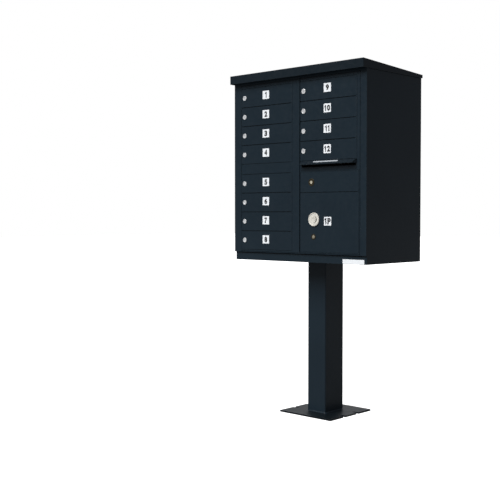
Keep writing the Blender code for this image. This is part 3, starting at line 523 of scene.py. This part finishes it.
def make_labels():
    """A white label on each tenant door and the parcel door, with its number or letters."""
    plate = rounded_plate("label_plate", *LABEL_SIZE, LABEL_PROUD, LABEL_CORNER)
    ink = Vector((0, LABEL_PROUD + SEAT_GAP, 0))
    for number in TENANTS:
        low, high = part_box(f"tenant_door_{number}")
        place = Vector((low.x + LABEL_FROM_EDGE, low.y - SEAT_GAP, (low.z + high.z) / 2 + LABEL_RISE))
        show(f"label_{number}", plate, f"door_{number}", "label_white", place)
        digits = text_mesh(f"digits_{number}", str(int(number)), DIGIT_HEIGHT)
        show(f"digits_{number}", digits, f"door_{number}", "label_ink", place - ink)
    place = Vector((PARCEL_LABEL[0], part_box("parcel_door")[0].y - SEAT_GAP, PARCEL_LABEL[1]))
    show("label_parcel", plate, "parcel_door", "label_white", place)
    letters = text_mesh("letters_parcel", "1P", PARCEL_DIGIT_HEIGHT)
    show("letters_parcel", letters, "parcel_door", "label_ink", place - ink)


def make_hood_label():
    """A blank white strip on the hood's slope, near its free edge, coloured grey as painted shade."""
    low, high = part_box("mail_slot_hood")
    top = Vector((0, high.y - HOOD_TOP_SET, high.z))
    lip = Vector((0, low.y, low.z + HOOD_SHEET))
    slope = top - lip
    plate = rounded_plate("hood_label", *HOOD_LABEL, HOOD_LABEL_PROUD, HOOD_LABEL_CORNER)
    lean = math.atan2(slope.y, slope.z)
    plate.transform(Matrix.Rotation(-lean, 4, "X"))
    outward = Vector((0, -slope.z, slope.y)).normalized()
    middle = lip + slope.normalized() * (HOOD_LABEL[1] / 2 + HOOD_LABEL_RISE) + outward * HOOD_LABEL_LIFT
    middle.x = low.x + HOOD_LABEL_FROM_END
    show("hood_label", plate, "right_master", "label_white_painted_shade", middle)


def tube_path():
    """(point, outward direction) pairs close together round the outline of the pedestal tube."""
    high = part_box("pedestal_tube")[1]
    corners = []
    for quarter, (sx, sy) in enumerate(((1, 1), (-1, 1), (-1, -1), (1, -1))):
        centre = Vector((sx * (high.x - TUBE_CORNER), sy * (high.y - TUBE_CORNER)))
        for i in range(7):
            a = math.radians(90 * quarter + 15 * i)
            out = Vector((math.cos(a), math.sin(a)))
            corners.append((centre + out * TUBE_CORNER, out))
    path = []
    for (start, out), (end, turned_out) in zip(corners, corners[1:] + corners[:1]):
        steps = max(1, round((end - start).length / WELD_STEP))
        for i in range(steps):
            path.append((start.lerp(end, i / steps), out.lerp(turned_out, i / steps).normalized()))
    return path


def weld_bead(name, z, side):
    """A rippled fillet round the tube at a height, above it for side 1 and below it for side -1."""
    bm = bmesh.new()
    sections = []
    for k, (foot, out) in enumerate(tube_path()):
        size = WELD * (1 + sum(share * math.sin(k * turn) for share, turn in WELD_RIPPLES))
        section = []
        for i in range(6):
            a = math.radians(18 * i)
            reach = size * (1 - WELD_HOLLOW * math.sin(a))
            rise = size * (1 - WELD_HOLLOW * math.cos(a))
            section.append(bm.verts.new((*(foot + out * reach), z + side * rise)))
        section.append(bm.verts.new((*(foot - out * WELD_ROOT), z)))
        sections.append(section)
    for one, two in zip(sections, sections[1:] + sections[:1]):
        bridge(bm, one, two)
    mesh = solid(name, bm)
    smooth(mesh, 60)
    return mesh


def make_welds():
    """A weld bead round the foot and the head of the pedestal tube."""
    low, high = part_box("pedestal_tube")
    show("weld_foot", weld_bead("weld_foot", low.z - CAD_GAP, 1), "root", "pedestal_paint")
    show("weld_head", weld_bead("weld_head", high.z + CAD_GAP, -1), "root", "pedestal_paint")


def make_stage():
    """A plain pale floor, which looks paler than the light that it throws back."""
    bm = bmesh.new()
    bmesh.ops.create_grid(bm, x_segments=1, y_segments=1, size=FLOOR_REACH)
    floor = bpy.data.objects.new("floor", to_mesh("floor", bm))
    floor.location.z = -FLOOR_DROP
    bpy.context.scene.collection.objects.link(floor)
    made, tree, shader = new_material("pale_floor", 0.9)
    shader.inputs["Specular IOR Level"].default_value = 0.0
    rays = tree.nodes.new("ShaderNodeLightPath")
    tone = ramp(tree, rays.outputs["Is Camera Ray"], FLOOR_BOUNCE, FLOOR_SEEN, 0.0, 1.0)
    tree.links.new(tone, shader.inputs["Base Color"])
    shader.inputs["Emission Color"].default_value = (1.0, 1.0, 1.0, 1.0)
    glow = tree.nodes.new("ShaderNodeMath")
    glow.operation = "MULTIPLY"
    glow.inputs[1].default_value = FLOOR_GLOW
    tree.links.new(rays.outputs["Is Camera Ray"], glow.inputs[0])
    tree.links.new(glow.outputs["Value"], shader.inputs["Emission Strength"])
    floor.data.materials.append(made)


def make_sun(name, direction, power, spread):
    """A sun lamp. The direction is from the object towards the light."""
    light = bpy.data.lights.new(name, "SUN")
    light.energy = power
    light.angle = spread
    lamp = bpy.data.objects.new(name, light)
    lamp.rotation_euler = Vector(direction).to_track_quat("Z", "Y").to_euler()
    bpy.context.scene.collection.objects.link(lamp)


def make_world():
    """White for the camera, and a dimmer, even grey for light and reflections."""
    world = bpy.data.worlds.new("studio")
    world.use_nodes = True
    tree = world.node_tree
    back = tree.nodes["Background"]
    back.inputs["Color"].default_value = (*AMBIENT, 1.0)
    white = tree.nodes.new("ShaderNodeBackground")
    white.inputs["Color"].default_value = (1.0, 1.0, 1.0, 1.0)
    rays = tree.nodes.new("ShaderNodeLightPath")
    mix = tree.nodes.new("ShaderNodeMixShader")
    tree.links.new(rays.outputs["Is Camera Ray"], mix.inputs["Fac"])
    tree.links.new(back.outputs["Background"], mix.inputs[1])
    tree.links.new(white.outputs["Background"], mix.inputs[2])
    tree.links.new(mix.outputs["Shader"], tree.nodes["World Output"].inputs["Surface"])
    bpy.context.scene.world = world
    bpy.context.scene.view_settings.view_transform = "Standard"


def make_camera():
    data = bpy.data.cameras.new("camera")
    data.sensor_width = SENSOR
    data.lens = CAMERA_LENS
    camera = bpy.data.objects.new("camera", data)
    turn = Matrix.Rotation(CAMERA_YAW, 4, "Z") @ Matrix.Rotation(math.radians(90) + CAMERA_PITCH, 4, "X")
    camera.matrix_world = Matrix.Translation(CAMERA_PLACE) @ turn @ Matrix.Rotation(CAMERA_ROLL, 4, "Z")
    bpy.context.scene.collection.objects.link(camera)
    bpy.context.scene.camera = camera


def main():
    dress_cad_nodes()
    make_tenant_locks()
    make_wide_door_locks()
    make_labels()
    make_hood_label()
    make_welds()
    make_stage()
    make_sun("sun", SUN_DIRECTION, SUN_POWER, SUN_SPREAD)
    make_sun("back_light", BACK_LIGHT_DIRECTION, BACK_LIGHT_POWER, BACK_LIGHT_SPREAD)
    make_world()
    make_camera()


main()
